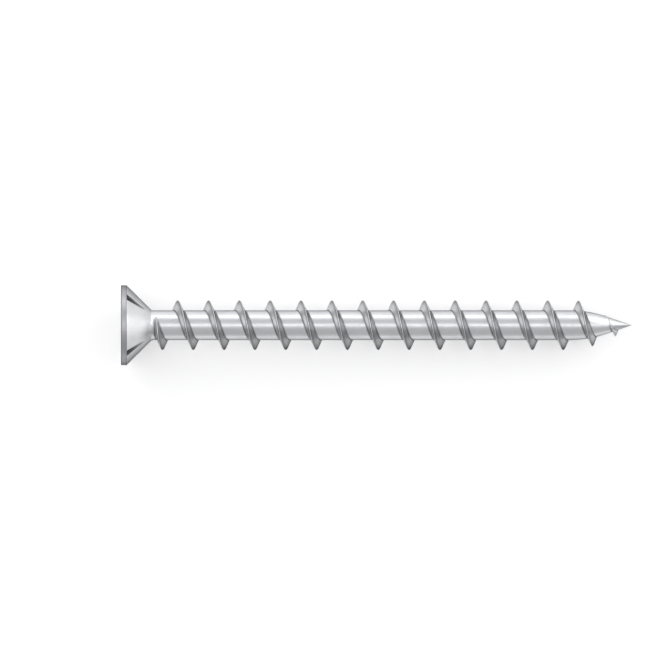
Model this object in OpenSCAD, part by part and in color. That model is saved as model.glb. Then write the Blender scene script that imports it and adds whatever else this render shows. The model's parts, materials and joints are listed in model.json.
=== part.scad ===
/* [Length and head] */
// Overall length, from the flat of the head to the point
screw_len = 45; // [36:1:60]
// Diameter of the countersunk head
head_d = 7.05; // [6.8:0.05:7.5]
// Height of the straight rim round the head
rim_h = 0.5; // [0.4:0.05:0.6]
// Angle across the countersunk cone
cone_angle = 90; // [86:1:94]
// Bevel between the flat of the head and the rim
rim_bevel = 0.06; // [0.02:0.01:0.12]
// Radius of the neck between the cone and the shank
neck_r = 0.25; // [0.2:0.05:0.6]

/* [Cross recess] */
// Size across two opposite wings at the flat of the head
recess_d = 4.65; // [4.4:0.05:4.8]
// Width of one wing
wing_w = 1.06; // [0.9:0.02:1.2]
// Radius of the corners at the end of a wing
wing_corner_r = 0.22; // [0.1:0.02:0.3]
// Slope of a wing's end wall from the screw's axis
wing_slope = 26.5; // [25:0.5:28]
// Depth at which the end walls meet the floor
wing_depth = 2; // [1.8:0.05:2.1]
// Angle across the conical floor
floor_angle = 140; // [136:1:150]

/* [Milling pockets] */
// Number of pockets cut in the cone
pocket_count = 4; // [2:1:6]
// Width of a pocket at the rim
pocket_w = 0.68; // [0.4:0.02:0.8]
// Width of a pocket at its other end
pocket_tip_w = 0.08; // [0.04:0.02:0.2]
// Depth of a pocket at the rim
pocket_depth = 0.5; // [0.3:0.05:0.6]
// Length of a pocket along the screw's axis
pocket_len = 1.7; // [1.2:0.05:1.8]

/* [Shank and point] */
// Diameter of the core between the turns of the thread
core_d = 2.62; // [2.4:0.02:2.8]
// Slope of the side of the point from the axis
point_slope = 18.8; // [17:0.2:22]
// Length of the curve that leads from the core into the point
point_blend = 3.1; // [2:0.1:4]

/* [Thread] */
// Diameter across the crests
thread_d = 4.36; // [4:0.02:4.6]
// Advance in one turn
pitch = 2.715; // [2.6:0.005:2.8]
// Angle between the two flanks
flank_angle = 42; // [38:1:46]
// Width of the flat along the crest
crest_w = 0.06; // [0.04:0.01:0.1]
// Distance from the flat of the head at which the helix starts
helix_start = 1.605; // [1.5:0.005:1.7]
// How far the first turn is bent towards the point, at one turn before the bend ends
bend = 3.2; // [0:0.1:5]
// How much the pitch shortens in each turn on the point
closing = 0.36; // [0:0.02:0.4]
// Steps in one turn
turn_steps = 36; // [24:12:48]

/* [Hidden] */

$fn = 96;
slack = 1;
head_r = head_d / 2;
core_r = core_d / 2;
crest_r = thread_d / 2;
cone_slope = cone_angle / 2;
flank_slope = flank_angle / 2;
thread_h = crest_r - core_r;

// Where the cone would meet the core, without the neck's radius
cone_end = rim_h + (head_r - core_r) / tan(cone_slope);

// The point is a cone, led in by an arc that is tangent to it and to the core
point_corner = screw_len - core_r / tan(point_slope);
blend_tangent = point_blend / (1 + cos(point_slope));
blend_r = blend_tangent / tan(point_slope / 2);
blend_start = point_corner - blend_tangent;
blend_end = point_corner + blend_tangent * cos(point_slope);

// Height of the ridge, as a share of its full height. It rises behind the cone, by turns,
// runs out on the point, by distance, and rises once more to a short tooth near the tip. A
// share below zero lies under the surface of the core.
buried = -0.1;
run_in = [[0.4, buried], [0.62, 1]];
run_out = [[4.7, 1], [3.5, 0.88], [2.7, 0.06], [2, 0.06], [1.45, 0.56], [1.05, buried]];
fall = [for (p = run_out) [screw_len - p[0], p[1]]];
thread_end = screw_len - run_out[len(run_out) - 1][0];
root_sink = 0.1;

// The pitch is even up to the turn where the run-out starts
even_turns = (screw_len - run_out[0][0] - helix_start) / pitch;
first_step = ceil(turn_steps * run_in[0][0]);
last_step = turn_steps * (even_turns + 2.5);

// The ridge starts nearly straight across the screw, and joins the helix after the bend
bend_end = 0.75;
bend_turns = 0.36;

// The screw lies on its rim and on the last full crest that faces down
rest_s = helix_start + floor(even_turns) * pitch + crest_w / 2;
lie_angle = atan((head_r - crest_r) / (rest_s - rim_h));
axis_height = head_r * cos(lie_angle) + rim_h * sin(lie_angle);
head_lean = (head_r - rim_bevel) * sin(lie_angle);
middle_x = (screw_len * cos(lie_angle) - head_lean) / 2;

function arc_points(centre, r, from, to, steps) =
    [for (i = [0 : steps])
        let (a = from + (to - from) * i / steps)
        centre + r * [cos(a), sin(a)]];

// Radius of the core at a distance from the flat of the head
function core_at(s) =
    s < blend_start ? core_r
    : s < blend_end ? core_r - blend_r + sqrt(blend_r ^ 2 - (s - blend_start) ^ 2)
    : (screw_len - s) * tan(point_slope);

// Distance of the helix from the flat of the head after a number of turns
function helix_at(turn) =
    helix_start + pitch * turn - closing * max(0, turn - even_turns) ^ 2;

// The same for the crest, with the bend at its start
function crest_at(turn) =
    helix_at(turn) + bend * min(bend_turns, max(0, bend_end - turn)) ^ 2;

// The four corners of the ridge's section at one turn
function ridge_ring(turn) =
    let (
        s = crest_at(turn),
        top = core_at(s) + thread_h * lookup(turn, run_in) * lookup(s, fall),
        reach = (top - core_at(s)) * tan(flank_slope) + crest_w / 2 + root_sink,
        foot = core_at(s + reach) - root_sink,
        half = (top - foot) * tan(flank_slope) + crest_w / 2,
        section = [[foot, -half], [top, -crest_w / 2], [top, crest_w / 2], [foot, half]]
    )
    [for (p = section) [p[0] * cos(360 * turn), p[0] * sin(360 * turn), s + p[1]]];

// A closed skin over a row of rings with four corners each
module ridge(rings) {
    last = len(rings) - 1;
    sides = [for (i = [0 : last - 1], j = [0 : 3])
        let (k = (j + 1) % 4, p = 4 * i, q = 4 * (i + 1))
        each [[p + j, p + k, q + k], [p + j, q + k, q + j]]];
    ends = [[3, 2, 1, 0], [4 * last, 4 * last + 1, 4 * last + 2, 4 * last + 3]];
    polyhedron([for (r = rings) each r], concat(sides, ends), convexity = 10);
}

module thread() {
    ridge([for (i = [first_step : last_step])
        if (helix_at(i / turn_steps) < thread_end) ridge_ring(i / turn_steps)]);
}

// Head, core and point, turned from one outline
module blank() {
    neck_tangent = neck_r * tan(cone_slope / 2);
    neck_centre = [core_r + neck_r, cone_end + neck_tangent];
    neck = arc_points(neck_centre, neck_r, 180 + cone_slope, 180, 6);
    blend = arc_points([core_r - blend_r, blend_start], blend_r, 0, point_slope, 10);
    rotate_extrude()
        polygon(concat(
            [[0, 0], [head_r - rim_bevel, 0], [head_r, rim_bevel], [head_r, rim_h]],
            neck,
            blend,
            [[0, screw_len]]
        ));
}

// Plan of the recess: two crossed bars with rounded corners
module cross_plan() {
    corner = recess_d / 2 - wing_corner_r;
    side = wing_w / 2 - wing_corner_r;
    quarter = concat(
        arc_points([corner, -side], wing_corner_r, -90, 0, 4),
        arc_points([corner, side], wing_corner_r, 0, 90, 4),
        [[wing_w / 2, wing_w / 2]]
    );
    polygon([for (t = [0 : 90 : 270], p = quarter)
        [p[0] * cos(t) - p[1] * sin(t), p[0] * sin(t) + p[1] * cos(t)]]);
}

// The driver's recess: the plan, narrowed by the sloping end walls and the conical floor
module recess() {
    top_r = recess_d / 2;
    foot_r = top_r - wing_depth * tan(wing_slope);
    floor_depth = wing_depth + foot_r / tan(floor_angle / 2);
    intersection() {
        translate([0, 0, -slack]) linear_extrude(screw_len / 4) cross_plan();
        rotate_extrude()
            polygon([
                [0, -slack],
                [top_r + slack * tan(wing_slope), -slack],
                [foot_r, wing_depth],
                [0, floor_depth]
            ]);
    }
}

// A notch in the cone: widest and deepest at the rim, and its floor runs out of the cone
module pocket() {
    floor_from = [head_r - pocket_depth, rim_h];
    floor_to = [head_r - pocket_len * tan(cone_slope), rim_h + pocket_len];
    past = floor_to + (floor_to - floor_from) / 10;
    intersection() {
        rotate([90, 0, 0])
            linear_extrude(2 * pocket_w, center = true)
                polygon([floor_from, [head_r + slack, rim_h], [head_r + slack, past[1]], past]);
        rotate([90, 0, 90])
            linear_extrude(head_d)
                polygon([
                    [-pocket_w / 2, rim_h],
                    [pocket_w / 2, rim_h],
                    [pocket_tip_w / 2, past[1]],
                    [-pocket_tip_w / 2, past[1]]
                ]);
    }
}

module pockets() {
    for (i = [0 : pocket_count - 1])
        rotate([0, 0, (i + 0.5) * 360 / pocket_count]) pocket();
}

module upright_screw() {
    difference() {
        blank();
        recess();
        pockets();
    }
    thread();
}

module screw() {
    color("silver")
        translate([-middle_x, 0, axis_height])
            rotate([0, 90 + lie_angle, 0]) upright_screw();
}

screw();
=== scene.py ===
# %% [markdown]
# # A window frame screw
# The object is one steel screw for fixing window profiles: a flat countersunk head with a cross
# recess, four milling pockets in the cone under it, a coarse thread over the whole shank, and a
# sharp point. The head is forged and the thread is rolled on one length of wire, so the model is
# one closed skin. It lies on a pale floor, and the camera looks down on it, square to its axis.
#
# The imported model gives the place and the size. This script makes the same form again with far
# finer faces, rounded edges and a plated finish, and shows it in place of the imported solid.

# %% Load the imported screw
import json
import math

import bmesh
import bpy
from mathutils import Matrix, Vector


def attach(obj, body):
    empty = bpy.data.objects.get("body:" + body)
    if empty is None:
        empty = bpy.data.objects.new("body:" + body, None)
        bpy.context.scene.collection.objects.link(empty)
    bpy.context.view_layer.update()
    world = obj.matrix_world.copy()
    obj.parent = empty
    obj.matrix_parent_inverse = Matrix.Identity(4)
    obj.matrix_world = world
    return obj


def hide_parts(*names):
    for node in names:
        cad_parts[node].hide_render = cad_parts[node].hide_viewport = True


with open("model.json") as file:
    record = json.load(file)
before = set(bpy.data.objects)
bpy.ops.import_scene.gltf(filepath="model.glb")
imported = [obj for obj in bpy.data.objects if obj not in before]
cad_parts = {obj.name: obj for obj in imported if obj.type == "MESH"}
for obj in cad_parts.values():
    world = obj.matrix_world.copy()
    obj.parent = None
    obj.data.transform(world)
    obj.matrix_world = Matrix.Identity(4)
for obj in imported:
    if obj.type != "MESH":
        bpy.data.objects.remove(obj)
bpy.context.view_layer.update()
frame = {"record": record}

# %% [markdown]
# ## Sizes
# A screw is described by a handful of sizes, all measured from the flat of the head along the
# axis, or outwards from the axis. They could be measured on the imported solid, but with a name for
# each size the formulas below can be read. They are written in millimetres, as on a maker's
# drawing, and the factor turns them into Blender's metres. Sizes that only one step needs, such as
# those of the recess and the fine roundings, stand at that step.

# %% Sizes of the whole screw
MM = 0.001
SCREW_LENGTH = 45 * MM
HEAD_RADIUS = 7.05 / 2 * MM
RIM_HEIGHT = 0.5 * MM
CONE_SLOPE = math.radians(90 / 2)
NECK_RADIUS = 0.25 * MM
CORE_RADIUS = 2.62 / 2 * MM
POINT_SLOPE = math.radians(18.8)
POINT_BLEND = 3.1 * MM
print("length", SCREW_LENGTH / MM, "mm, head", 2 * HEAD_RADIUS / MM, "mm wide")

# %% Where the neck and the point begin and end
CONE_END = RIM_HEIGHT + (HEAD_RADIUS - CORE_RADIUS) / math.tan(CONE_SLOPE)
NECK_TANGENT = NECK_RADIUS * math.tan(CONE_SLOPE / 2)
NECK_START = CONE_END - NECK_TANGENT * math.cos(CONE_SLOPE)
NECK_END = CONE_END + NECK_TANGENT

POINT_CORNER = SCREW_LENGTH - CORE_RADIUS / math.tan(POINT_SLOPE)
BLEND_TANGENT = POINT_BLEND / (1 + math.cos(POINT_SLOPE))
BLEND_RADIUS = BLEND_TANGENT / math.tan(POINT_SLOPE / 2)
BLEND_START = POINT_CORNER - BLEND_TANGENT
BLEND_END = POINT_CORNER + BLEND_TANGENT * math.cos(POINT_SLOPE)
print("even core from", round(NECK_END / MM, 2), "to", round(BLEND_START / MM, 2), "mm")

# %% [markdown]
# ## Where the screw lies
# A countersunk screw laid on a table touches it in two places: the wide rim of the head, and the
# last full crest of the thread. So its axis falls a little towards the point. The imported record
# keeps the mouth of the recess as a mount, with its centre and its direction, and these two place
# the whole screw. The skin could be made lying down at once, but all its formulas are simple where
# the screw stands upright along its own Z, with the head at zero. It is laid down once, at the end.

# %% The screw's own frame
mouth = next(m for m in frame["record"]["mounts"] if m["name"] == "drive_recess")
AXIS = -Vector(mouth["axis"]).normalized()
ACROSS = Vector((0, 1, 0))
DOWN = ACROSS.cross(AXIS)
LAID = Matrix((DOWN, ACROSS, AXIS)).transposed().to_4x4()
LAID.translation = Vector(mouth["pos_m"])
print("the axis falls by", round(math.degrees(math.asin(-AXIS.z)), 2), "degrees")

# %% [markdown]
# ## A helper for node arithmetic
# The thread's shape and its finish are both formulas, and both are built from Math nodes. Written
# out node by node they would be hard to read. A small class lets Python's own operators add the
# nodes instead: `a * b` on two fields adds one Multiply node and returns its output.

# %% Fields: formulas that build nodes
def connect(tree, value, socket):
    """Gives a socket a field by a link, and a plain value as its default."""
    if isinstance(value, Field):
        tree.links.new(value.socket, socket)
    else:
        socket.default_value = value


class Field:
    """The output of a node. Arithmetic on it adds Math nodes to the same tree."""

    def __init__(self, tree, socket):
        self.tree = tree
        self.socket = socket

    def math(self, operation, *others, clamp=False):
        node = self.tree.nodes.new("ShaderNodeMath")
        node.operation = operation
        node.use_clamp = clamp
        for value, socket in zip(others, node.inputs):
            connect(self.tree, value, socket)
        return Field(self.tree, node.outputs[0])

    def __add__(self, other):
        return self.math("ADD", self, other)

    def __radd__(self, other):
        return self.math("ADD", self, other)

    def __sub__(self, other):
        return self.math("SUBTRACT", self, other)

    def __rsub__(self, other):
        return self.math("SUBTRACT", other, self)

    def __mul__(self, other):
        return self.math("MULTIPLY", self, other)

    def __truediv__(self, other):
        return self.math("DIVIDE", self, other)

    def at_least(self, other):
        return self.math("MAXIMUM", self, other)

    def at_most(self, other):
        return self.math("MINIMUM", self, other)

    def is_above(self, other):
        return self.math("GREATER_THAN", self, other)

    def is_below(self, other):
        return self.math("LESS_THAN", self, other)

    def squared(self):
        return self.math("MULTIPLY", self, self)

    def root(self):
        return self.math("SQRT", self)

    def sine(self):
        return self.math("SINE", self)

    def cosine(self):
        return self.math("COSINE", self)

    def tangent(self):
        return self.math("TANGENT", self)

    def magnitude(self):
        return self.math("ABSOLUTE", self)

    def sign(self):
        return self.math("SIGN", self)

    def clamped(self):
        return self.math("MULTIPLY", self, 1.0, clamp=True)

    def between(self, start, end):
        """0 at the start, 1 at the end, even in between, and held at 0 and 1 outside."""
        node = self.tree.nodes.new("ShaderNodeMapRange")
        connect(self.tree, self, node.inputs["Value"])
        connect(self.tree, start, node.inputs["From Min"])
        connect(self.tree, end, node.inputs["From Max"])
        return Field(self.tree, node.outputs["Result"])


def new_socket(tree, name, side, kind="Float"):
    tree.interface.new_socket(name=name, in_out=side, socket_type="NodeSocket" + kind)


def inputs_of(tree):
    """The tree's own inputs as fields, by name."""
    source = tree.nodes.new("NodeGroupInput")
    return {socket.name: Field(tree, socket) for socket in source.outputs if socket.name}


print("node helpers ready")

# %% [markdown]
# ## The finish: bright zinc on rolled steel
# Such screws are barrel-plated in zinc: a bright, cool, slightly cloudy grey. A plain metal with
# one colour would look like a mirror. Three things keep the real one from it: the plating is uneven
# on the scale of a millimetre, the steel under it keeps a fine grain and the marks of its tools,
# and the tumbling barrel rubs the crests brighter. The Wear input says where they are rubbed, from
# 0 to 1. Painted shade darkens the colour and raises the roughness in the hollows and along some
# edges, and the Painted Shade input says where, from 0 to 1.
#
# Every surface of the screw needs all of these, so they are one node group that hands out a colour,
# a roughness and a normal. The Principled shader stays in each material, where the exporter can
# read it. Patterns read Object coordinates turned into the screw's own frame, so that marks run
# round the screw and not along the floor.

# %% Texture helpers
def screw_space(tree):
    """Object coordinates turned so that Z runs along the screw from the flat of the head."""
    coordinates = tree.nodes.new("ShaderNodeTexCoord")
    mapping = tree.nodes.new("ShaderNodeMapping")
    mapping.vector_type = "TEXTURE"
    mapping.inputs["Location"].default_value = LAID.translation
    mapping.inputs["Rotation"].default_value = LAID.to_euler()
    tree.links.new(coordinates.outputs["Object"], mapping.inputs["Vector"])
    return mapping.outputs["Vector"]


def noise(tree, vector, scale, detail, roughness):
    node = tree.nodes.new("ShaderNodeTexNoise")
    tree.links.new(vector, node.inputs["Vector"])
    connect(tree, scale, node.inputs["Scale"])
    node.inputs["Detail"].default_value = detail
    node.inputs["Roughness"].default_value = roughness
    return Field(tree, node.outputs["Fac"])


def mixed(tree, factor, first, second):
    """A colour between two colours."""
    node = tree.nodes.new("ShaderNodeMix")
    node.data_type = "RGBA"
    connect(tree, factor, node.inputs["Factor"])
    for value, name in ((first, "A_Color"), (second, "B_Color")):
        socket = next(s for s in node.inputs if s.identifier == name)
        connect(tree, value, socket)
    return Field(tree, next(s for s in node.outputs if s.identifier == "Result_Color"))


print("texture helpers ready")

# %% The plating group
PLATING_INPUTS = {
    "Bright Colour": "Color",
    "Dull Colour": "Color",
    "Cloud Scale": "Float",
    "Grain Scale": "Float",
    "Grain Depth": "Float",
    "Roughness": "Float",
    "Roughness Spread": "Float",
    "Wear": "Float",
    "Painted Shade": "Float",
    "Shade Colour": "Color",
    "Marks": "Float",
}
PLATING_OUTPUTS = {"Colour": "Color", "Roughness": "Float", "Normal": "Vector"}
# The tone is mostly clouds, and the rest is grain. Their noise rarely leaves this range
CLOUD_SHARE = 0.75
TONE_RANGE = (0.3, 0.7)
# The painted shade has an even part, and one that follows the clouds
EVEN_SHADE = 0.6
CLOUDY_SHADE = 0.8
# At this shine, and without painted shade, the roughness is the one that is given
MIDDLE_SHINE = 0.5


def make_plating():
    """The node group that turns the given values and masks into colour, roughness and normal."""
    tree = bpy.data.node_groups.new("zinc_plating", "ShaderNodeTree")
    for name, kind in PLATING_INPUTS.items():
        new_socket(tree, name, "INPUT", kind)
    for name, kind in PLATING_OUTPUTS.items():
        new_socket(tree, name, "OUTPUT", kind)
    given = inputs_of(tree)
    place = screw_space(tree)
    clouds = noise(tree, place, given["Cloud Scale"], detail=3.0, roughness=0.55)
    grain = noise(tree, place, given["Grain Scale"], detail=4.0, roughness=0.6)
    tone = (clouds * CLOUD_SHARE + grain * (1 - CLOUD_SHARE)).between(*TONE_RANGE)
    shine = (tone + given["Wear"]).clamped()
    plated = mixed(tree, shine, given["Dull Colour"], given["Bright Colour"])
    # Painted shade: the colour is darkened towards the shade colour by this amount, and grows
    # rougher
    shade_amount = (given["Painted Shade"] * (EVEN_SHADE + clouds * CLOUDY_SHADE)).clamped()
    rough = given["Roughness"] + (MIDDLE_SHINE - shine + shade_amount) * given["Roughness Spread"]
    bump = tree.nodes.new("ShaderNodeBump")
    bump.inputs["Distance"].default_value = 1.0
    connect(tree, (grain + given["Marks"]) * given["Grain Depth"], bump.inputs["Height"])
    result = tree.nodes.new("NodeGroupOutput")
    colour = mixed(tree, shade_amount, plated, given["Shade Colour"])
    connect(tree, colour, result.inputs["Colour"])
    connect(tree, rough, result.inputs["Roughness"])
    tree.links.new(bump.outputs["Normal"], result.inputs["Normal"])
    return tree


plating = make_plating()
print("plating group:", len(plating.nodes), "nodes")

# %% [markdown]
# ## Six surfaces, one plating
# Each tool leaves its own surface under the zinc. The shank is rolled and the cone is forged, both
# with faint marks running round. The rim is trimmed, so it is rougher and greyer. The flat of the
# head is faced, which leaves rings round its middle. The recess is punched and rougher, and its
# darker colours are painted shade. The flanks that face the head are nearly white in the drawing,
# so they get a lighter copy of the zinc, painted light, and are the brightest of all. One material
# could do all of this with more masks, but one for each surface is easier to read and to change.
# Each places the group with its own values and adds its own marks.
#
# Specular Tint colours what a metal reflects at a grazing angle, where it would else be at its
# brightest. The drawing has dark outlines, so the tint is black, except on the lit flanks.

# %% Marks of the tools
WAVE_PERIOD = math.pi / 10


def marks(tree, vector, spacing, shape, distortion, detail_scale):
    """Fine even marks. A wave texture of scale 1 repeats once in each WAVE_PERIOD."""
    node = tree.nodes.new("ShaderNodeTexWave")
    node.wave_type = shape
    node.bands_direction = "Z"
    node.rings_direction = "Z"
    node.inputs["Scale"].default_value = WAVE_PERIOD / spacing
    node.inputs["Distortion"].default_value = distortion
    node.inputs["Detail"].default_value = 2.0
    node.inputs["Detail Scale"].default_value = detail_scale
    tree.links.new(vector, node.inputs["Vector"])
    return Field(tree, node.outputs["Fac"])


def rings_from_axis(tree, vector, spacing):
    """Marks round the screw's axis, as a turning or facing tool leaves."""
    return marks(tree, vector, spacing, "RINGS", distortion=1.2, detail_scale=2.0)


def bands_along_axis(tree, vector, spacing):
    """Marks that run round the shank, one behind the other along it."""
    return marks(tree, vector, spacing, "BANDS", distortion=2.0, detail_scale=1.5)


print("mark helpers ready")


# %% A material for one surface
def zinc_material(name, tool_marks, spacing, values, edge_tint=0.0):
    """A metal with the plating group in it. The mesh's own masks feed Wear and Painted Shade."""
    material = bpy.data.materials.new(name)
    material.use_nodes = True
    tree = material.node_tree
    shader = next(n for n in tree.nodes if n.type == "BSDF_PRINCIPLED")
    shader.inputs["Metallic"].default_value = 1.0
    shader.inputs["Specular Tint"].default_value = (edge_tint, edge_tint, edge_tint, 1)
    group = tree.nodes.new("ShaderNodeGroup")
    group.node_tree = plating
    for socket, value in values.items():
        group.inputs[socket].default_value = value
    connect(tree, tool_marks(tree, screw_space(tree), spacing), group.inputs["Marks"])
    # The root attribute holds where shade is painted, and the crest attribute where the crests are
    # rubbed
    for attribute, socket in (("crest", "Wear"), ("root", "Painted Shade")):
        stored = tree.nodes.new("ShaderNodeAttribute")
        stored.attribute_name = attribute
        tree.links.new(stored.outputs["Fac"], group.inputs[socket])
    for output, socket in (("Colour", "Base Color"), ("Roughness", "Roughness")):
        tree.links.new(group.outputs[output], shader.inputs[socket])
    tree.links.new(group.outputs["Normal"], shader.inputs["Normal"])
    return material


# The scales count spots in a metre, and the depth is in metres
ZINC = {
    "Bright Colour": (0.74, 0.745, 0.76, 1),
    "Dull Colour": (0.64, 0.645, 0.66, 1),
    "Shade Colour": (0.07, 0.07, 0.074, 1),
    "Cloud Scale": 700,
    "Grain Scale": 9000,
    "Grain Depth": 0.0000014,
    "Roughness": 0.36,
    "Roughness Spread": 0.06,
}
rolled_zinc = zinc_material("rolled_zinc", bands_along_axis, 0.24 * MM, ZINC)
print("first material:", rolled_zinc.name, "with", len(rolled_zinc.node_tree.nodes), "nodes")

# %% The other five surfaces
# Painted light: a lighter copy of the zinc, for the flanks that face the head
LIT_FLANK = dict(ZINC, **{
    "Bright Colour": (0.86, 0.865, 0.875, 1),
    "Dull Colour": (0.79, 0.795, 0.805, 1),
})
FORGED = dict(ZINC, **{
    "Bright Colour": (0.7, 0.705, 0.715, 1),
    "Dull Colour": (0.6, 0.605, 0.615, 1),
    "Shade Colour": (0.17, 0.17, 0.175, 1),
    "Roughness": 0.38,
})
TRIMMED = dict(ZINC, **{
    "Bright Colour": (0.45, 0.455, 0.465, 1),
    "Dull Colour": (0.38, 0.385, 0.395, 1),
    "Roughness": 0.46,
})
FACED = dict(ZINC, **{
    "Bright Colour": (0.64, 0.645, 0.655, 1),
    "Dull Colour": (0.55, 0.555, 0.565, 1),
    "Grain Depth": 0.0000024,
    "Roughness": 0.34,
})
# Painted shade: darker colours for the whole recess
PUNCHED_SHADED = dict(ZINC, **{
    "Bright Colour": (0.42, 0.425, 0.435, 1),
    "Dull Colour": (0.32, 0.325, 0.335, 1),
    "Shade Colour": (0.2, 0.2, 0.205, 1),
    "Roughness": 0.45,
})
lit_flank_zinc = zinc_material("lit_flank_zinc", rings_from_axis, 0.24 * MM, LIT_FLANK, edge_tint=0.35)
forged_zinc = zinc_material("forged_zinc", bands_along_axis, 0.24 * MM, FORGED)
trimmed_zinc = zinc_material("trimmed_zinc", bands_along_axis, 0.2 * MM, TRIMMED)
faced_zinc = zinc_material("faced_zinc", rings_from_axis, 0.12 * MM, FACED)
punched_shaded_zinc = zinc_material("punched_shaded_zinc", bands_along_axis, 0.3 * MM, PUNCHED_SHADED)
FINISHES = (rolled_zinc, lit_flank_zinc, forged_zinc, trimmed_zinc, faced_zinc, punched_shaded_zinc)
print("materials:", [material.name for material in FINISHES])

# %% [markdown]
# ## The threaded shank
# Rolling presses a helical ridge up out of the wire. The ridge could be a spring-shaped tube stuck
# through a cylinder, but then every flank would meet the core in a cut line, with no fillet and
# with broken highlights. A skin that follows the thread is better: one long strip, one pitch wide,
# wound round the axis like a ribbon. Each winding's edge is the next one's beginning, so after
# welding it is one closed surface, and its lines run along the crest, the flanks and the root.
#
# The strip starts as a flat grid. Along X a point counts turns, and along Y it counts steps across
# the thread's section, from the middle of one gap over the crest to the middle of the next gap.
# The tree works out where each point belongs. The section has four parts on each side: a rounded
# crest, a straight flank, a fillet and the bare core. The helix is wound a little closer on the
# point, and the ridge's height follows the run-in behind the cone and the run-out on the point.
# Before the first turn and past the last, points are held at the neck and at the tip.
#
# The finish needs three masks, and the tree stores them with the mesh: where the crest is rubbed
# bright, where shade is painted on the root, the edge below the crest and the tip, and which faces
# are flanks towards the head, which get the lighter copy of the zinc as painted light. A node works
# out its fields from the mesh that reaches it, so the masks are stored while the grid is still
# flat, before its points move.

# %% Course of the thread
CREST_RADIUS = 4.36 / 2 * MM
PITCH = 2.715 * MM
HELIX_START = 1.605 * MM

# The ridge rises between these two turns. It is bent for BEND_TURNS before BEND_TURN
RUN_IN = (0.4, 0.62)
BEND_TURN = 0.75
BEND_TURNS = 0.36
BEND = 3.2 * MM

# Millimetres before the tip, and the share of its full height that the ridge has there
RUN_OUT = [(4.7, 1), (3.5, 0.88), (2.7, 0.06), (2, 0.06), (1.45, 0.56), (1.05, 0)]
RISE = [(SCREW_LENGTH - before * MM, share) for before, share in RUN_OUT]
RUN_OUT_START = RISE[0][0]
EVEN_TURNS = (RUN_OUT_START - HELIX_START) / PITCH
CLOSING = 0.36 * MM
print("the pitch is even for", round(EVEN_TURNS, 2), "turns, then closes up")

# %% Steps of the strip
COLUMNS = 128
CREST_STEPS = 3
FLANK_STEPS = 6
FILLET_STEPS = 3
CORE_STEPS = 4
FLANK_END = CREST_STEPS + FLANK_STEPS
CORE_START = FLANK_END + FILLET_STEPS
SECTION_STEPS = CORE_START + CORE_STEPS


def turns_to(distance):
    """Turns after which the crest is that far from the flat of the head."""
    even = (distance - HELIX_START) / PITCH
    if even <= EVEN_TURNS:
        return even
    rest = distance - RUN_OUT_START
    return EVEN_TURNS + (PITCH - math.sqrt(PITCH ** 2 - 4 * CLOSING * rest)) / (2 * CLOSING)


first_column = math.floor((turns_to(NECK_START) - 0.5) * COLUMNS)
last_column = math.ceil((turns_to(SCREW_LENGTH) + 0.5) * COLUMNS)
print("strip:", last_column - first_column, "by", 2 * SECTION_STEPS, "faces")

# %% The tree's inputs
SHANK_INPUTS = {
    "Pitch": PITCH,
    "Helix Start": HELIX_START,
    "Even Turns": EVEN_TURNS,
    "Closing": CLOSING,
    "Bend": BEND,
    "Ridge Height": CREST_RADIUS - CORE_RADIUS,
    "Flank Slope": math.radians(42 / 2),
    "Crest Rounding": 0.025 * MM,
    "Root Fillet": 0.05 * MM,
    "Core Radius": CORE_RADIUS,
    "Neck Radius": NECK_RADIUS,
    "Neck Start": NECK_START,
    "Neck End": NECK_END,
    "Blend Start": BLEND_START,
    "Blend End": BLEND_END,
    "Blend Radius": BLEND_RADIUS,
    "Point Slope": POINT_SLOPE,
    "Length": SCREW_LENGTH,
}
print("the ridge stands", round(SHANK_INPUTS["Ridge Height"] / MM, 3), "mm above the core")


# %% Formulas along the screw
def helix_at(size, turn):
    """Distance of the thread from the flat of the head, after a number of turns."""
    closer = (turn - size["Even Turns"]).at_least(0.0).squared() * size["Closing"]
    return size["Helix Start"] + turn * size["Pitch"] - closer


def crest_at(size, turn):
    """The crest follows the helix, but starts straight across the screw beside the neck."""
    before = (BEND_TURN - turn).at_least(0.0).at_most(BEND_TURNS)
    return helix_at(size, turn) + before.squared() * size["Bend"]


def blank_at(size, distance):
    """Radius of the bare core, with the neck's fillet and the point, at a distance."""
    neck_way = (size["Neck End"] - distance).at_least(0.0)
    neck = size["Neck Radius"] - (size["Neck Radius"].squared() - neck_way.squared()).root()
    blend_way = (distance - size["Blend Start"]).at_least(0.0)
    blend_way = blend_way.at_most(size["Blend End"] - size["Blend Start"])
    blend = size["Blend Radius"] - (size["Blend Radius"].squared() - blend_way.squared()).root()
    cone = (distance - size["Blend End"]).at_least(0.0) * size["Point Slope"].tangent()
    return (size["Core Radius"] + neck - blend - cone).at_least(0.0)


def rise_at(turn, distance):
    """Share of the ridge's full height: straight pieces between the points of RISE."""
    share = turn.between(*RUN_IN)
    for (start, low), (end, high) in zip(RISE, RISE[1:]):
        if high != low:
            share = share + distance.between(start, end) * (high - low)
    return share


print("formulas ready for", len(RISE) - 1, "pieces of the run-out")


# %% Formulas across the ridge
def section_at(size, height, step):
    """How far a step of the section is from the crest along the screw, how far above the core
    it is, and the whole half width of the ridge."""
    slope = size["Flank Slope"]
    arc = math.pi / 2 - slope
    drop = 1.0 - slope.sine()
    whole = (size["Crest Rounding"] + size["Root Fillet"]) * drop
    share = (height / whole).clamped()
    crest = size["Crest Rounding"] * share
    fillet = size["Root Fillet"] * share
    on_crest = arc * step.between(0.0, CREST_STEPS)
    on_flank = step.between(CREST_STEPS, FLANK_END)
    on_fillet = arc * (1.0 - step.between(FLANK_END, CORE_START))
    flank_fall = height - (crest + fillet) * drop
    flank_way = flank_fall * slope.tangent()
    fallen = crest * (1.0 - on_crest.cosine()) + flank_fall * on_flank
    fallen = fallen + fillet * (on_fillet.cosine() - slope.sine())
    way = crest * on_crest.sine() + flank_way * on_flank
    way = way + fillet * (slope.cosine() - on_fillet.sine())
    return way, height - fallen, (crest + fillet) * slope.cosine() + flank_way


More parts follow.
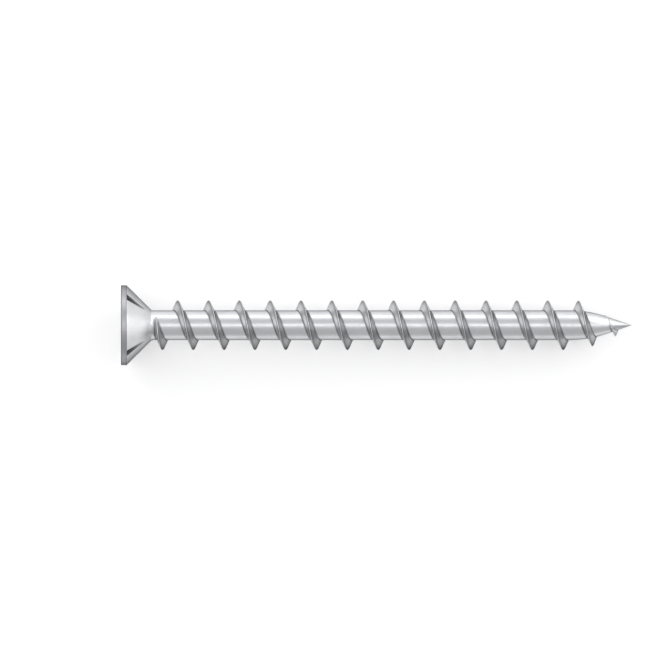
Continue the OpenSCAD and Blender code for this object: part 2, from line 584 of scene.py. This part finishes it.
def place_at(size, turn, step, side):
    """Radius and distance of a point, and the height of the ridge at its turn. The strip's edges
    lie in the middle of the gaps, half a turn before and half a turn after."""
    crest = crest_at(size, turn)
    gap = (helix_at(size, turn + side * 0.5) - crest) * side
    height = rise_at(turn, crest) * size["Ridge Height"]
    way, above, half = section_at(size, height, step)
    on_core = step.between(CORE_START, SECTION_STEPS)
    way = way + (gap - half) * on_core * on_core.squared()
    distance = (crest + way * side).at_least(size["Neck Start"]).at_most(size["Length"])
    return blank_at(size, distance) + above, distance, height


print("section: crest, flank, fillet and core, with steps up to", SECTION_STEPS)

# %% Formulas for the masks
# Painted shade: how dark the thread's root, the edge below the crest and the tip are painted
ROOT_SHADE = 0.78
CREST_SHADE = 0.65
TIP_SHADE = 0.45
TIP_REACH = 2.2 * MM
# Shares of the ridge's height between which its masks fade in
MASKED_RIDGE = (0.1, 0.4)
# Steps between which a mask fades in or out, counted from the crest
RUBBED = (CREST_STEPS + 1, CREST_STEPS - 1)
SHADE_IN = (CREST_STEPS - 1, CREST_STEPS)
SHADE_OUT = (CREST_STEPS + 3, CREST_STEPS)
ROOT_IN = (FLANK_END, FLANK_END + 1)
ROOT_OUT = (CORE_START + 2, CORE_START + 1)


def masks_at(size, across, step, distance, height):
    """How rubbed a point is, how dark its painted shade is, and whether a face is a flank towards
    the head.
    """
    masked = (height / size["Ridge Height"]).between(*MASKED_RIDGE)
    rubbed = step.between(*RUBBED) * masked
    shade = step.between(*SHADE_IN) * step.between(*SHADE_OUT)
    root = step.between(*ROOT_IN) * step.between(*ROOT_OUT)
    darkened = (root * ROOT_SHADE).at_least(shade * CREST_SHADE) * masked
    tip = (distance - size["Length"]).between(-TIP_REACH, 0.0) * TIP_SHADE
    flank = across.is_below(-CREST_STEPS) * across.is_above(-FLANK_END)
    return rubbed, darkened.at_least(tip), flank


# Painted shade covers the steps between these two
print("dull from step", ROOT_IN[0], "to step", ROOT_OUT[0], "of", SECTION_STEPS)


# %% Nodes of the strip
def flat_grid(tree):
    """The flat strip, the turn at each of its points, and the steps across it."""
    grid = tree.nodes.new("GeometryNodeMeshGrid")
    columns = last_column - first_column
    grid.inputs["Size X"].default_value = columns / COLUMNS
    grid.inputs["Size Y"].default_value = 2 * SECTION_STEPS
    grid.inputs["Vertices X"].default_value = columns + 1
    grid.inputs["Vertices Y"].default_value = 2 * SECTION_STEPS + 1
    position = tree.nodes.new("GeometryNodeInputPosition")
    split = tree.nodes.new("ShaderNodeSeparateXYZ")
    tree.links.new(position.outputs[0], split.inputs[0])
    turn = Field(tree, split.outputs["X"]) + (first_column + last_column) / (2 * COLUMNS)
    return grid, turn, Field(tree, split.outputs["Y"])


def keep_mask(tree, name, domain, mask):
    """A node that stores a mask with the mesh, as a named attribute."""
    node = tree.nodes.new("GeometryNodeStoreNamedAttribute")
    node.data_type = "FLOAT"
    node.domain = domain
    node.inputs["Name"].default_value = name
    connect(tree, mask, next(s for s in node.inputs if s.name == "Value" and s.enabled))
    return node


def wind(tree, radius, angle, distance):
    """A node that moves each point to its place round the axis."""
    join = tree.nodes.new("ShaderNodeCombineXYZ")
    connect(tree, radius * angle.cosine(), join.inputs["X"])
    connect(tree, radius * angle.sine(), join.inputs["Y"])
    connect(tree, distance, join.inputs["Z"])
    node = tree.nodes.new("GeometryNodeSetPosition")
    tree.links.new(join.outputs[0], node.inputs["Position"])
    return node


def cover(tree, material, mask=None):
    """A node that gives a material to all faces, or to those of a stored mask."""
    node = tree.nodes.new("GeometryNodeSetMaterial")
    connect(tree, material, node.inputs["Material"])
    if mask:
        kept = tree.nodes.new("GeometryNodeInputNamedAttribute")
        kept.data_type = "FLOAT"
        kept.inputs["Name"].default_value = mask
        tree.links.new(kept.outputs["Attribute"], node.inputs["Selection"])
    return node


print("strip nodes ready")

# %% Build the tree
STRIP_WELD = 0.0001 * MM


def make_shank_tree():
    """The tree that makes the flat strip, stores its masks, and winds and covers it."""
    tree = bpy.data.node_groups.new("threaded_shank", "GeometryNodeTree")
    tree.is_modifier = True
    new_socket(tree, "Geometry", "OUTPUT", "Geometry")
    for name in SHANK_INPUTS:
        new_socket(tree, name, "INPUT")
    for name in ("Finish", "Flank Finish"):
        new_socket(tree, name, "INPUT", "Material")
    given = inputs_of(tree)
    grid, turn, across = flat_grid(tree)
    step = across.magnitude()
    radius, distance, height = place_at(given, turn, step, across.sign())
    rubbed, darkened, flank = masks_at(given, across, step, distance, height)
    weld = tree.nodes.new("GeometryNodeMergeByDistance")
    weld.inputs["Distance"].default_value = STRIP_WELD
    chain = [
        grid,
        keep_mask(tree, "crest", "POINT", rubbed),
        keep_mask(tree, "root", "POINT", darkened),
        keep_mask(tree, "flank", "FACE", flank),
        wind(tree, radius, turn * (2 * math.pi), distance),
        weld,
        tree.nodes.new("GeometryNodeRealizeInstances"),
        cover(tree, given["Finish"]),
        cover(tree, given["Flank Finish"], mask="flank"),
        tree.nodes.new("NodeGroupOutput"),
    ]
    for before, after in zip(chain, chain[1:]):
        tree.links.new(before.outputs[0], after.inputs[0])
    return tree


shank_tree = make_shank_tree()
print("shank tree:", len(shank_tree.nodes), "nodes")


# %% Wind the strip
def made_by(tree, name, values):
    """Runs a Geometry Nodes tree on an empty mesh and returns the plain mesh that it makes."""
    holder = bpy.data.objects.new(name, bpy.data.meshes.new(name))
    bpy.context.scene.collection.objects.link(holder)
    modifier = holder.modifiers.new(name, "NODES")
    modifier.node_group = tree
    for item in tree.interface.items_tree:
        if item.in_out == "INPUT" and item.name in values:
            modifier[item.identifier] = values[item.name]
    evaluated = holder.evaluated_get(bpy.context.evaluated_depsgraph_get())
    mesh = bpy.data.meshes.new_from_object(evaluated)
    holder.modifiers.remove(modifier)
    bpy.data.objects.remove(holder)
    return mesh


# The flank finish is the lighter copy of the zinc, painted light on the flanks that face the head
shank_values = dict(SHANK_INPUTS, **{"Finish": rolled_zinc, "Flank Finish": lit_flank_zinc})
shank_mesh = made_by(shank_tree, "shank", shank_values)
print("shank:", len(shank_mesh.vertices), "points,", len(shank_mesh.polygons), "faces")

# %% [markdown]
# ## The head
# The head is forged: one blow upsets the wire into a cone and punches the recess. Cutting a cross
# out of a cone with a Boolean would work, but it leaves sharp, uneven faces that no bevel rounds
# well. The head is lofted from rings instead, all with the same number of points, from the neck up
# the cone, round the rim, across the flat, over the rounded mouth and down to the recess's floor.
# Where a ring crosses a pocket, its points there are drawn together at the pocket's edges and
# pushed in to its floor, so the pocket's walls stay steep.

# %% Columns of the head
WINGS = 4
PER_WING = COLUMNS // WINGS
HALF_WING = PER_WING // 2
# Columns from a pocket's middle to the foot of its wall, and to the edge above the foot
POCKET_FOOT = 2
POCKET_EDGE = 3


def lerp(a, b, t):
    return a + (b - a) * t


def polar(radius, angle, distance):
    return Vector((radius * math.cos(angle), radius * math.sin(angle), distance))


def near(column, middle):
    """The nearest repeat of middle, and how many columns away from it this column is."""
    away = (column - middle + HALF_WING) % PER_WING - HALF_WING
    return (column - away) * 2 * math.pi / COLUMNS, away


def pocket_angle(away, radius, half):
    """Angle of a column from the pocket's middle, where the pocket is half wide each way."""
    side = math.copysign(1, away)
    steps = abs(away)
    edge = math.asin(half / radius)
    if steps <= POCKET_EDGE:
        return side * edge
    quarter = math.pi / WINGS
    return side * lerp(edge, quarter, (steps - POCKET_EDGE) / (HALF_WING - POCKET_EDGE))


print("columns:", COLUMNS, "round the head,", 2 * POCKET_EDGE + 1, "of them to a pocket")

# %% Rings of the cone and its pockets
POCKET_HALF = 0.68 / 2 * MM
POCKET_TIP_HALF = 0.08 / 2 * MM
POCKET_DEPTH = 0.5 * MM
POCKET_LENGTH = 1.7 * MM
POCKET_END = RIM_HEIGHT + POCKET_LENGTH
# The pocket's plan narrows to a little past the place where its floor runs out of the cone
POCKET_PAST = POCKET_END + POCKET_LENGTH / 10

# The cone and the pockets stop where the rounding of the rim's lower edge begins
RIM_EDGE = 0.05 * MM
EDGE_TANGENT = RIM_EDGE * math.tan(CONE_SLOPE / 2)
POCKET_TOP = RIM_HEIGHT + EDGE_TANGENT * math.cos(CONE_SLOPE)


def cone_radius(distance):
    return HEAD_RADIUS - (distance - RIM_HEIGHT) * math.tan(CONE_SLOPE)


def pocket_ring(distance, cut=True):
    """A ring of the cone with its pockets, evened out below them for the neck."""
    radius = cone_radius(distance)
    down = (distance - POCKET_TOP) / (POCKET_PAST - POCKET_TOP)
    half = lerp(POCKET_HALF, POCKET_TIP_HALF, min(down, 1))
    along_floor = (distance - RIM_HEIGHT) / POCKET_LENGTH
    floor = lerp(HEAD_RADIUS - POCKET_DEPTH, cone_radius(POCKET_END), along_floor)
    evenness = max(0, min(1, (distance - POCKET_PAST) / (NECK_START - POCKET_PAST)))
    ring = []
    for column in range(COLUMNS):
        middle, away = near(column, HALF_WING)
        even = away * 2 * math.pi / COLUMNS
        if abs(away) < POCKET_EDGE:
            aside = math.copysign(half * min(abs(away), POCKET_FOOT) / POCKET_FOOT, away)
            skin = math.sqrt(radius ** 2 - aside ** 2)
            inwards = min(floor, skin) if cut else skin
            angle = math.atan2(aside, inwards)
            reach = math.hypot(aside, inwards)
        else:
            angle = pocket_angle(away, radius, half)
            reach = radius
        ring.append(polar(reach, middle + lerp(angle, even, evenness), distance))
    return ring


CONE_RINGS = 20
neck_to_rim = [lerp(NECK_START, POCKET_TOP, i / CONE_RINGS) for i in range(CONE_RINGS + 1)]
cone_rings = [pocket_ring(distance) for distance in neck_to_rim]
cone_rings.append(pocket_ring(POCKET_TOP, cut=False))
print("cone:", len(cone_rings), "rings of", COLUMNS, "points")

# %% [markdown]
# ## The rim
# A trimming die cuts the head round and leaves a short straight rim with two softly rounded edges.
# A Bevel modifier could round them, but it would also reach into the pockets. So each rounding is a
# few rings along an arc. Two more rings lie close to the roundings, where the line of painted shade
# along each edge ends. Towards the cone the points gather over the pockets, and towards the flat
# they spread evenly.

# %% Rings of the rim
RIM_BEVEL = 0.06 * MM
ROUND_STEPS = 4
EDGE_LINE = 0.03 * MM


def rim_ring(radius, distance, evenness=0.0):
    """A round ring whose points gather over the pockets' edges, or are evenly spread."""
    ring = []
    for column in range(COLUMNS):
        middle, away = near(column, HALF_WING)
        gathered = pocket_angle(away, HEAD_RADIUS, POCKET_HALF)
        if abs(away) < POCKET_EDGE:
            gathered *= min(abs(away), POCKET_FOOT) / POCKET_FOOT
        even = away * 2 * math.pi / COLUMNS
        ring.append(polar(radius, middle + lerp(gathered, even, evenness), distance))
    return ring


edge_middle = Vector((HEAD_RADIUS - RIM_EDGE, RIM_HEIGHT - EDGE_TANGENT))
rim_rings = []
for i in range(1, ROUND_STEPS + 1):
    turned = CONE_SLOPE * (1 - i / ROUND_STEPS)
    out = edge_middle + RIM_EDGE * Vector((math.cos(turned), math.sin(turned)))
    rim_rings.append(rim_ring(out.x, out.y))
rim_rings.append(rim_ring(HEAD_RADIUS, RIM_HEIGHT - RIM_BEVEL - EDGE_LINE))
rim_rings.append(rim_ring(HEAD_RADIUS, RIM_BEVEL + EDGE_LINE, evenness=1.0))
for i in range(ROUND_STEPS + 1):
    turned = math.pi / 2 * i / ROUND_STEPS
    radius = HEAD_RADIUS - RIM_BEVEL * (1 - math.cos(turned))
    rim_rings.append(rim_ring(radius, RIM_BEVEL * (1 - math.sin(turned)), evenness=1.0))
print("rim:", len(rim_rings), "rings")

# %% [markdown]
# ## The cross recess
# A cross recess has four wings. Their ends slope in as the driver's tip does, and the floor is a
# shallow cone. It could be cut with a solid cross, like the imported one, but the mouth's rounding
# needs faces that follow it. So the outline is worked out for half a wing, from the middle of its
# end to the corner between two wings, and repeated by turning. The same outline serves at every
# depth: only the wing's length changes, and at the bottom each point sits where the wall meets the
# floor.
#
# The flat of the head reaches from a circle to a cross. Long faces between the two would smear the
# finish of the edges into a star, so one more ring lies close to the rim and one close to the
# mouth.

# %% Outline of the recess
RECESS_REACH = 4.65 / 2 * MM
WING_HALF = 1.06 / 2 * MM
WING_CORNER = 0.22 * MM
INNER_CORNER = 0.12 * MM
END_STEPS = 3
CORNER_STEPS = 4
INNER_STEPS = 2
SIDE_STEPS = HALF_WING - END_STEPS - CORNER_STEPS - INNER_STEPS


def half_wing_point(steps, reach, grow):
    """Point of the outline, a number of steps from the middle of the wing's end."""
    corner = reach - WING_CORNER
    straight = WING_HALF - WING_CORNER
    inner = WING_HALF + INNER_CORNER
    if steps <= END_STEPS:
        return Vector((reach + grow, straight * steps / END_STEPS))
    steps -= END_STEPS
    if steps <= CORNER_STEPS:
        angle = math.pi / 2 * steps / CORNER_STEPS
        centre = Vector((corner, straight))
        return centre + (WING_CORNER + grow) * Vector((math.cos(angle), math.sin(angle)))
    steps -= CORNER_STEPS
    if steps <= SIDE_STEPS:
        return Vector((lerp(corner, inner, steps / SIDE_STEPS), WING_HALF + grow))
    angle = math.pi / 4 * (steps - SIDE_STEPS) / INNER_STEPS
    centre = Vector((inner, inner))
    return centre - (INNER_CORNER - grow) * Vector((math.sin(angle), math.cos(angle)))


def outline(reach, grow=0.0):
    """The whole cross, with wings of that reach, grown outwards by a little for the mouth."""
    points = []
    for column in range(COLUMNS):
        middle, away = near(column, 0)
        x, y = half_wing_point(abs(away), reach, grow)
        points.append(Matrix.Rotation(middle, 2) @ Vector((x, math.copysign(y, away))))
    return points


print("outline: wings", 2 * RECESS_REACH / MM, "mm across,", 2 * WING_HALF / MM, "mm wide")

# %% Rings of the mouth and the flat
MOUTH_ROUNDING = 0.04 * MM


def mouth_ring(grow, depth):
    return [p.to_3d() + Vector((0, 0, depth)) for p in outline(RECESS_REACH, grow)]


mouth_rings = []
for i in range(ROUND_STEPS + 1):
    turned = math.pi / 2 * i / ROUND_STEPS
    grow = MOUTH_ROUNDING * (1 - math.sin(turned))
    depth = MOUTH_ROUNDING * (1 - math.cos(turned))
    mouth_rings.append(mouth_ring(grow, depth))
flat_rings = [
    rim_rings[-1],
    rim_ring(HEAD_RADIUS - RIM_BEVEL - EDGE_LINE, 0, evenness=1.0),
    mouth_ring(MOUTH_ROUNDING + EDGE_LINE / 2, 0),
    mouth_rings[0],
]
print("mouth:", len(mouth_rings), "rings, flat:", len(flat_rings), "rings")

# %% Rings of the recess's walls and floor
WING_SLOPE = math.radians(26.5)
WING_DEPTH = 2 * MM
FLOOR_SLOPE = math.radians(140 / 2)
FOOT = RECESS_REACH - WING_DEPTH * math.tan(WING_SLOPE)
FLOOR_DEPTH = WING_DEPTH + FOOT / math.tan(FLOOR_SLOPE)
WALL_STEPS = 6
FLOOR_STEPS = 5


def floor_at(point):
    return FLOOR_DEPTH - point.length / math.tan(FLOOR_SLOPE)


foot_line = outline(FOOT)
wall_rings = []
for i in range(1, WALL_STEPS + 1):
    down = i / WALL_STEPS
    ring = outline(lerp(RECESS_REACH, FOOT, down))
    for point, foot in zip(ring, foot_line):
        point.resize_3d()
        point.z = lerp(MOUTH_ROUNDING, floor_at(foot), down)
    wall_rings.append(ring)

floor_rings = []
for i in range(1, FLOOR_STEPS):
    inner = [point * (1 - i / FLOOR_STEPS) for point in foot_line]
    floor_rings.append([Vector((p.x, p.y, floor_at(p))) for p in inner])
print("recess:", len(wall_rings) + len(floor_rings), "rings to", round(FLOOR_DEPTH / MM, 2), "mm")

# %% [markdown]
# ## One skin
# Head and shank could stay two shells that touch, but a shadow line would show at the neck. So the
# head's rings are joined by faces, in order, and the shank's mesh is added. The cone's ring at the
# neck and the shank's first ring have their points in the same places, and welding makes them one.
# Welding also closes up the faces that have no width, beside the pockets and on the thread's
# run-in. The strip ends in a bundle of points at the tip, which are first drawn into one.
#
# The rings carry the same mask of painted shade as the shank: darker deeper in a pocket, deeper in
# the recess, and along the rim's two edges. Edges that fold by more than about 35 degrees are
# marked sharp, and all others are shaded smooth, so that the long highlights along the cone and the
# shank stay unbroken.

# %% A loft that carries the finish
skin = bmesh.new()
skin.from_mesh(shank_mesh)
for face in skin.faces:
    face.material_index = FINISHES.index(shank_mesh.materials[face.material_index])
# The root attribute holds where shade is painted, on the shank and on the head
shade_layer = skin.verts.layers.float["root"]


def loft(rings, surface, shade_of=None):
    """Faces between each ring and the next. The rings run up the head and into the recess."""
    made = [[skin.verts.new(point) for point in ring] for ring in rings]
    if shade_of:
        for ring in made:
            for vertex in ring:
                vertex[shade_layer] = min(1, max(0, shade_of(vertex.co)))
    for lower, upper in zip(made, made[1:]):
        for i in range(COLUMNS):
            j = (i + 1) % COLUMNS
            face = skin.faces.new((lower[i], upper[i], upper[j], lower[j]))
            face.material_index = FINISHES.index(surface)
    return made


print("shank in the skin:", len(skin.faces), "faces")

# %% Loft the head
# Painted shade: how dark the lines along the rim's two edges are painted
EDGE_SHADE = 0.7


# Painted shade: darker the deeper a point lies in a pocket
def pocket_shade(point):
    return (cone_radius(point.z) - point.xy.length) / POCKET_DEPTH


def rim_edge_shade(point):
    from_edge = min(point.z, RIM_HEIGHT - point.z) - RIM_BEVEL
    return EDGE_SHADE * min(1, 1 - from_edge / EDGE_LINE)


# Painted shade: darker the deeper a point lies in the recess
def recess_shade(point):
    return point.z / WING_DEPTH


loft(cone_rings + rim_rings[:2], forged_zinc, pocket_shade)
loft(rim_rings[1:], trimmed_zinc, rim_edge_shade)
loft(flat_rings, faced_zinc)
inside = loft(mouth_rings + wall_rings + floor_rings, punched_shaded_zinc, recess_shade)
deepest = skin.verts.new((0, 0, FLOOR_DEPTH))
for i in range(COLUMNS):
    face = skin.faces.new((inside[-1][i], deepest, inside[-1][(i + 1) % COLUMNS]))
    face.material_index = FINISHES.index(punched_shaded_zinc)
print("with the head:", len(skin.faces), "faces")

# %% Weld the skin
TIP_BUNDLE = 0.01 * MM
SKIN_WELD = 0.0002 * MM
tip = [vertex for vertex in skin.verts if vertex.co.z > SCREW_LENGTH - TIP_BUNDLE]
bmesh.ops.pointmerge(skin, verts=tip, merge_co=(0, 0, SCREW_LENGTH))
bmesh.ops.remove_doubles(skin, verts=skin.verts, dist=SKIN_WELD)
open_edges = [edge for edge in skin.edges if len(edge.link_faces) != 2]
for face in skin.faces:
    face.smooth = True
print("skin:", len(skin.faces), "faces,", len(open_edges), "open edges")

# %% Lay the screw down
SHARP_FOLD = math.radians(35)
screw_mesh = bpy.data.meshes.new("window_screw")
for material in FINISHES:
    screw_mesh.materials.append(material)
skin.to_mesh(screw_mesh)
skin.free()
screw_mesh.set_sharp_from_angle(angle=SHARP_FOLD)
screw_mesh.transform(LAID)
for slot, material in enumerate(screw_mesh.materials):
    share = sum(p.area for p in screw_mesh.polygons if p.material_index == slot)
    print(material.name, "covers", round(share / MM ** 2, 1), "square millimetres")
window_screw = bpy.data.objects.new("window_screw", screw_mesh)
bpy.context.scene.collection.objects.link(window_screw)
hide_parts("screw")
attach(window_screw, "root")
print("screw:", sum(len(p.vertices) - 2 for p in screw_mesh.polygons), "triangles")

# %% [markdown]
# ## The floor
# The screw lies on pale paper. More light would make the paper white, but it would burn out the
# metal too. So the paper glows a little, and only for what looks at it: the camera, and the
# reflections in the metal. Light Path tells these rays from the ones that light the scene, and the
# screw's shadow stays.

# %% Floor
FLOOR_REACH = 3.0
PAPER_GREY = 0.62
PAPER_ROUGHNESS = 0.9
PAPER_GLOW = 0.36
WHITE = (1, 1, 1, 1)
floor_mesh = bpy.data.meshes.new("floor")
reach = FLOOR_REACH
corners = [(-reach, -reach, 0), (reach, -reach, 0), (reach, reach, 0), (-reach, reach, 0)]
floor_mesh.from_pydata(corners, [], [(0, 1, 2, 3)])
floor = bpy.data.objects.new("floor", floor_mesh)
bpy.context.scene.collection.objects.link(floor)
paper = bpy.data.materials.new("floor_paper")
paper.use_nodes = True
paper_tree = paper.node_tree
paper_shader = next(n for n in paper_tree.nodes if n.type == "BSDF_PRINCIPLED")
paper_shader.inputs["Base Color"].default_value = (PAPER_GREY, PAPER_GREY, PAPER_GREY, 1)
paper_shader.inputs["Roughness"].default_value = PAPER_ROUGHNESS
paper_shader.inputs["Emission Color"].default_value = WHITE
path = paper_tree.nodes.new("ShaderNodeLightPath")
looked_at = Field(paper_tree, path.outputs["Is Camera Ray"])
for name in ("Is Glossy Ray", "Is Transmission Ray"):
    looked_at = looked_at.at_least(Field(paper_tree, path.outputs[name]))
connect(paper_tree, looked_at * PAPER_GLOW, paper_shader.inputs["Emission Strength"])
floor_mesh.materials.append(paper)
print("floor:", 2 * FLOOR_REACH, "metres wide")

# %% [markdown]
# ## The room and its light
# A bright metal shows what stands round it, so the light is most of the look. The drawing has a
# white band high on the shank, a soft grey one above the middle, a light line along the middle, a
# darker grey below and a lighter edge. One strong lamp would give a single hard glint. A pale floor
# gives the edges, one large soft panel behind the screw gives the white band, a narrow one overhead
# gives the middle line, and the dim room between them gives the greys.
#
# Three more panels light what faces along the screw. The one on the head's side reaches the flanks
# that face the head. The far one, to the back beyond the point, reaches the other flanks and the
# cone. The low one ahead of the point lights the point itself. Below the horizon the room is white,
# so that the paper seems to go on past its edge.

# %% Room
ROOM_GREY = (0.55, 0.55, 0.56, 1)
HORIZON = (-0.01, 0.0)
world = bpy.data.worlds.new("studio")
world.use_nodes = True
room_tree = world.node_tree
room = next(n for n in room_tree.nodes if n.type == "BACKGROUND")
direction = room_tree.nodes.new("ShaderNodeTexCoord")
parts = room_tree.nodes.new("ShaderNodeSeparateXYZ")
room_tree.links.new(direction.outputs["Generated"], parts.inputs[0])
above = Field(room_tree, parts.outputs["Z"]).between(*HORIZON)
connect(room_tree, mixed(room_tree, above, WHITE, ROOM_GREY), room.inputs["Color"])
room.inputs["Strength"].default_value = 1.0
bpy.context.scene.world = world
print("room of grey", ROOM_GREY[:3])


# %% Panels
def panel(name, azimuth, height, distance, width, depth, brightness):
    """A soft panel that faces the screw. Azimuth turns from +X to +Y and height is the angle above
    the floor, both in degrees. The rest is in metres, and the width runs level. A brightness of 1
    looks as white as sunlit paper."""
    light = bpy.data.lights.new(name, "AREA")
    light.shape = "RECTANGLE"
    light.size = width
    light.size_y = depth
    light.energy = brightness * width * depth * math.pi
    lamp = bpy.data.objects.new(name, light)
    a, h = math.radians(azimuth), math.radians(height)
    towards = Vector((math.cos(h) * math.cos(a), math.cos(h) * math.sin(a), math.sin(h)))
    lamp.location = towards * distance
    lamp.rotation_euler = (-towards).to_track_quat("-Z", "Y").to_euler()
    lamp.visible_camera = False
    bpy.context.scene.collection.objects.link(lamp)
    print(name, "gives", round(light.energy, 3), "watts")


PANEL_VALUES = ("azimuth", "height", "distance", "width", "depth", "brightness")
PANELS = {
    "back_panel": (90, 20, 0.45, 0.9, 0.2, 1.55),
    "top_panel": (90, 89, 0.5, 0.8, 0.1, 1.9),
    "head_panel": (170, 44, 0.4, 0.6, 0.3, 1.5),
    "far_panel": (28, 31, 0.4, 0.4, 0.2, 2.3),
    "point_panel": (0, 6, 0.45, 0.3, 0.12, 1.8),
}
for name, values in PANELS.items():
    panel(name, **dict(zip(PANEL_VALUES, values)))

# %% [markdown]
# ## Camera
# The drawing has no perspective. A very long lens from far away would come close to that, but an
# orthographic camera is exact, and its scale can be worked out from two pixels of the drawing. It
# looks down square to the screw's axis, with the head on the left. In the 650-pixel frame the
# head's flat is 121 pixels from the left edge, the tip is at 632, and the axis runs through the
# middle.

# %% Camera
FRAME_PIXELS = 650
HEAD_PIXEL = 121
TIP_PIXEL = 632
AXIS_PIXEL = 325.2
CAMERA_DISTANCE = 0.5
pixel = SCREW_LENGTH / (TIP_PIXEL - HEAD_PIXEL)
along = (FRAME_PIXELS / 2 - HEAD_PIXEL) * pixel
raised = (AXIS_PIXEL - FRAME_PIXELS / 2) * pixel
centre = LAID.translation + AXIS * along + ACROSS * raised
camera = bpy.data.cameras.new("camera")
camera.type = "ORTHO"
camera.ortho_scale = FRAME_PIXELS * pixel
camera_object = bpy.data.objects.new("camera", camera)
camera_object.location = centre - DOWN * CAMERA_DISTANCE
camera_object.rotation_euler = Matrix((AXIS, ACROSS, -DOWN)).transposed().to_euler()
bpy.context.scene.collection.objects.link(camera_object)
bpy.context.scene.camera = camera_object
bpy.context.scene.view_settings.view_transform = "Standard"
print("one pixel is", round(pixel / MM, 4), "mm")
